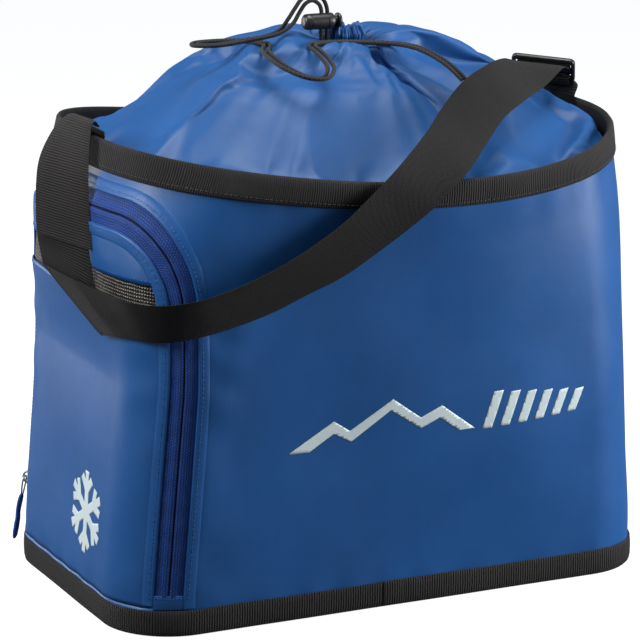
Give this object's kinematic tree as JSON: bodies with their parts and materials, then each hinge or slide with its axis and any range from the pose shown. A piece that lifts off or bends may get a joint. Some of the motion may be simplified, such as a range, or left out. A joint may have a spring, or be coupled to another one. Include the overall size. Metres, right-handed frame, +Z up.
{
  "type": "ski boot bag",
  "caption": "Box-shaped fabric boot bag with bound edges, a U-zipped end door with a mesh vent, a gathered drawcord skirt for a lid, and a webbing shoulder strap.",
  "frame": {"origin": "centre of the base outline, on the floor", "axes": "+Z up; X along the bag's length with the zipped door at -X; the printed front faces -Y"},
  "size_m": [0.443, 0.3096, 0.4238],
  "materials": {
    "blue_fabric": "coated",
    "skirt_fabric": "coated",
    "black_binding": "woven",
    "black_webbing": "woven",
    "zip_tape": "woven",
    "vent_mesh": "mesh",
    "board": "matte",
    "black_plastic": "satin",
    "zip_metal": "satin",
    "black_cord": "braided",
    "pull_cord_blue": "braided",
    "zip_coil": "satin"
  },
  "bodies": {
    "bag": {"front_wrap_panel": "blue_fabric", "back_panel": "blue_fabric", "back_left_seam_tape": "black_binding", "back_right_seam_tape": "black_binding", "base_panel": "blue_fabric", "base_board": "board", "base_binding": "black_binding", "rim_binding": "black_binding", "zip_outer_tape": "zip_tape", "zip_outer_coil": "zip_coil", "zip_garage": "zip_tape", "zip_end_tab": "zip_tape", "skirt": "skirt_fabric", "hem_channel": "skirt_fabric", "strap_anchor": "black_webbing", "adjuster_tab": "black_webbing", "draw_cord_a": "black_cord", "draw_cord_b": "black_cord", "cord_knot": "black_cord"},
    "door": {"door_lower_panel": "blue_fabric", "door_vent_mesh": "vent_mesh", "door_upper_panel": "blue_fabric", "zip_inner_tape": "zip_tape", "zip_inner_coil": "zip_coil"},
    "slider": {"zip_slider": "zip_metal", "slider_bail": "zip_metal"},
    "pull": {"pull_wire": "zip_metal", "pull_cord": "pull_cord_blue"},
    "strap": {"strap_webbing": "black_webbing", "strap_sewn_end": "black_webbing"},
    "adjuster": {"adjuster_frame": "black_plastic"},
    "lock": {"lock_barrel": "black_plastic", "lock_spring": "zip_metal"},
    "plunger": {"lock_plunger": "black_plastic"}
  },
  "joints": [
    {"name": "door_hinge", "type": "hinge", "parent": "bag", "child": "door", "pos_m": [-0.211, 0, 0.0203], "axis": [0, -1, 0], "range_deg": [0, 90], "deforming": ["zip_inner_tape", "zip_inner_coil"]},
    {"name": "zip_slide", "type": "slide", "parent": "bag", "child": "slider", "axis": [0.0751, 0.0408, 0.9963], "range_m": [0, 0.115], "deforming": ["zip_outer_tape", "zip_inner_tape", "zip_outer_coil", "zip_inner_coil"]},
    {"name": "pull_swing", "type": "hinge", "parent": "slider", "child": "pull", "pos_m": [-0.19127, 0.11654, 0.05401], "axis": [0.7254, 0.6883, 0], "range_deg": [0, 150]},
    {"name": "strap_swing", "type": "hinge", "parent": "bag", "child": "strap", "pos_m": [-0.19, -0.005, 0.341], "axis": [-0.9977, -0.0348, -0.0589], "range_deg": [0, 120], "deforming": ["strap_webbing", "strap_sewn_end"]},
    {"name": "adjuster_tilt", "type": "hinge", "parent": "bag", "child": "adjuster", "pos_m": [0.18817, 0.01653, 0.34726], "axis": [-0.7853, 0.6139, 0.0797], "range_deg": [0, 35], "deforming": ["adjuster_tab"]},
    {"name": "lock_slide", "type": "slide", "parent": "bag", "child": "lock", "axis": [0, 0, 1], "range_m": [0, 0.008], "deforming": ["draw_cord_a", "draw_cord_b"]},
    {"name": "plunger_press", "type": "slide", "parent": "lock", "child": "plunger", "axis": [-1, 0, 0], "range_m": [0, 0.003], "stiffness_N_per_m": 400, "deforming": ["lock_spring"]}
  ],
  "couplings": [
    {"joint": "adjuster_tilt", "follows": "strap_swing", "ratio": 0.2916}
  ]
}
